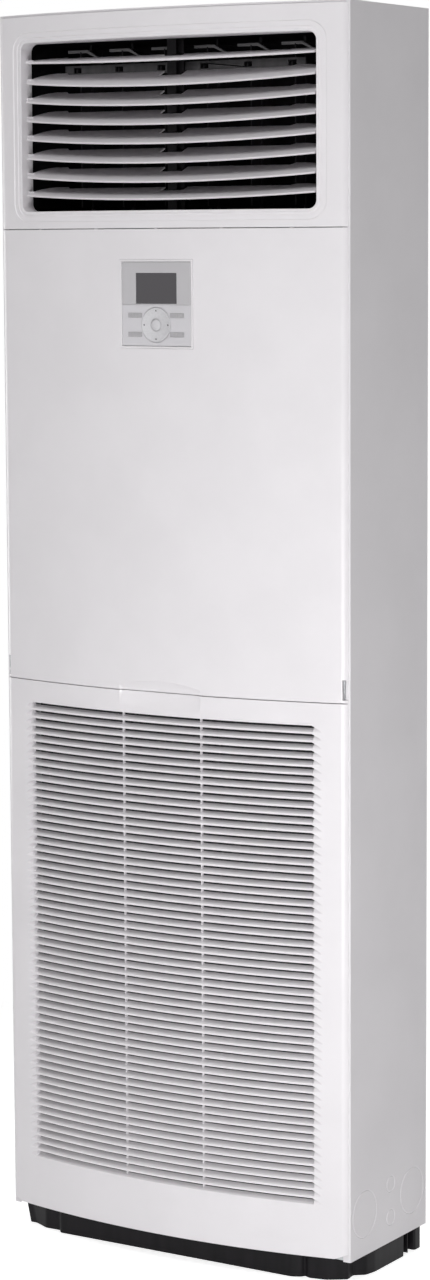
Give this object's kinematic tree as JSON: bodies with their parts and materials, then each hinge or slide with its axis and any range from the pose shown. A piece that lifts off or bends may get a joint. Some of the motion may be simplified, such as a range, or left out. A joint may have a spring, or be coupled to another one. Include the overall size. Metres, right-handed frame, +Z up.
{
  "type": "floor standing air conditioner",
  "caption": "Tall floor standing air conditioner indoor unit with a gently curved front, tilting outlet louvres, swinging vanes, a control panel and a hinged slatted suction grille.",
  "frame": {"origin": "on the floor under the middle of the cabinet", "axes": "+Z up, -Y out of the front, +X to the right of a person who faces the front"},
  "size_m": [0.6, 0.27, 1.85],
  "materials": {
    "cover_white": "satin",
    "sheet_white": "satin",
    "louvre_grey": "matte",
    "black_plastic": "matte",
    "link_grey": "satin",
    "screen_dark": "gloss",
    "key_grey": "matte",
    "filter_dark": "matte",
    "galvanised": "satin"
  },
  "bodies": {
    "cabinet": {"base_plinth": "black_plastic", "side_panel_left": "sheet_white", "side_panel_right": "sheet_white", "rear_panel": "sheet_white", "top_plate": "sheet_white", "inner_casing": "galvanised", "air_filter": "filter_dark", "hinge_bracket_left": "galvanised", "hinge_bracket_right": "galvanised", "cover_clip_left": "galvanised", "cover_clip_right": "galvanised", "middle_panel": "cover_white", "controller_body": "cover_white", "controller_screen": "screen_dark", "key_upper_left": "key_grey", "key_upper_right": "key_grey", "key_lower_left": "key_grey", "key_lower_right": "key_grey", "ring_pad": "key_grey", "centre_key": "key_grey", "outlet_panel": "cover_white", "outlet_duct": "black_plastic", "centre_stay": "black_plastic"},
    "blade_1": {"blade_1": "louvre_grey"},
    "blade_2": {"blade_2": "louvre_grey"},
    "blade_3": {"blade_3": "louvre_grey"},
    "blade_4": {"blade_4": "louvre_grey"},
    "blade_5": {"blade_5": "louvre_grey"},
    "blade_6": {"blade_6": "louvre_grey"},
    "blade_7": {"blade_7": "louvre_grey"},
    "blade_8": {"blade_8": "louvre_grey"},
    "vane_1": {"vane_1": "link_grey"},
    "vane_2": {"vane_2": "link_grey"},
    "vane_3": {"vane_3": "link_grey"},
    "vane_4": {"vane_4": "link_grey"},
    "vane_5": {"vane_5": "link_grey"},
    "vane_6": {"vane_6": "link_grey"},
    "vane_link": {"vane_link": "link_grey"},
    "suction_grille": {"suction_grille": "cover_white"}
  },
  "joints": [
    {"name": "blade_tilt_1", "type": "hinge", "parent": "cabinet", "child": "blade_1", "pos_m": [0, -0.09, 1.782], "axis": [1, 0, 0], "range_deg": [-15.11, 7.81]},
    {"name": "blade_tilt_2", "type": "hinge", "parent": "cabinet", "child": "blade_2", "pos_m": [0, -0.09, 1.7545], "axis": [1, 0, 0], "range_deg": [-33, 17]},
    {"name": "blade_tilt_3", "type": "hinge", "parent": "cabinet", "child": "blade_3", "pos_m": [0, -0.09, 1.727], "axis": [1, 0, 0], "range_deg": [-33, 17]},
    {"name": "blade_tilt_4", "type": "hinge", "parent": "cabinet", "child": "blade_4", "pos_m": [0, -0.09, 1.6995], "axis": [1, 0, 0], "range_deg": [-33, 17]},
    {"name": "blade_tilt_5", "type": "hinge", "parent": "cabinet", "child": "blade_5", "pos_m": [0, -0.09, 1.672], "axis": [1, 0, 0], "range_deg": [-33, 17]},
    {"name": "blade_tilt_6", "type": "hinge", "parent": "cabinet", "child": "blade_6", "pos_m": [0, -0.09, 1.6445], "axis": [1, 0, 0], "range_deg": [-33, 17]},
    {"name": "blade_tilt_7", "type": "hinge", "parent": "cabinet", "child": "blade_7", "pos_m": [0, -0.09, 1.617], "axis": [1, 0, 0], "range_deg": [-33, 17]},
    {"name": "blade_tilt_8", "type": "hinge", "parent": "cabinet", "child": "blade_8", "pos_m": [0, -0.09, 1.5895], "axis": [1, 0, 0], "range_deg": [-26.59, 13.72]},
    {"name": "vane_swing_1", "type": "hinge", "parent": "cabinet", "child": "vane_1", "pos_m": [-0.185, -0.022, 1.685], "axis": [0, 0, 1], "range_deg": [-25, 25]},
    {"name": "vane_swing_2", "type": "hinge", "parent": "cabinet", "child": "vane_2", "pos_m": [-0.111, -0.022, 1.685], "axis": [0, 0, 1], "range_deg": [-25, 25]},
    {"name": "vane_swing_3", "type": "hinge", "parent": "cabinet", "child": "vane_3", "pos_m": [-0.037, -0.022, 1.685], "axis": [0, 0, 1], "range_deg": [-25, 25]},
    {"name": "vane_swing_4", "type": "hinge", "parent": "cabinet", "child": "vane_4", "pos_m": [0.037, -0.022, 1.685], "axis": [0, 0, 1], "range_deg": [-25, 25]},
    {"name": "vane_swing_5", "type": "hinge", "parent": "cabinet", "child": "vane_5", "pos_m": [0.111, -0.022, 1.685], "axis": [0, 0, 1], "range_deg": [-25, 25]},
    {"name": "vane_swing_6", "type": "hinge", "parent": "cabinet", "child": "vane_6", "pos_m": [0.185, -0.022, 1.685], "axis": [0, 0, 1], "range_deg": [-25, 25]},
    {"name": "vane_link_slide", "type": "slide", "parent": "cabinet", "child": "vane_link", "axis": [1, 0, 0], "range_m": [-0.0158, 0.0158]},
    {"name": "grille_open", "type": "hinge", "parent": "cabinet", "child": "suction_grille", "pos_m": [0, -0.0985, 0.0475], "axis": [1, 0, 0], "range_deg": [0, 50]}
  ],
  "couplings": [
    {"joint": "blade_tilt_1", "follows": "blade_tilt_2", "ratio": 0.4565},
    {"joint": "blade_tilt_3", "follows": "blade_tilt_2", "ratio": 1},
    {"joint": "blade_tilt_4", "follows": "blade_tilt_2", "ratio": 1},
    {"joint": "blade_tilt_5", "follows": "blade_tilt_2", "ratio": 1},
    {"joint": "blade_tilt_6", "follows": "blade_tilt_2", "ratio": 1},
    {"joint": "blade_tilt_7", "follows": "blade_tilt_2", "ratio": 1},
    {"joint": "blade_tilt_8", "follows": "blade_tilt_2", "ratio": 0.8043},
    {"joint": "vane_swing_2", "follows": "vane_swing_1", "ratio": 1},
    {"joint": "vane_swing_3", "follows": "vane_swing_1", "ratio": 1},
    {"joint": "vane_swing_4", "follows": "vane_swing_1", "ratio": 1},
    {"joint": "vane_swing_5", "follows": "vane_swing_1", "ratio": 1},
    {"joint": "vane_swing_6", "follows": "vane_swing_1", "ratio": 1},
    {"joint": "vane_link_slide", "follows": "vane_swing_1", "m_per_rad": 0.036}
  ]
}
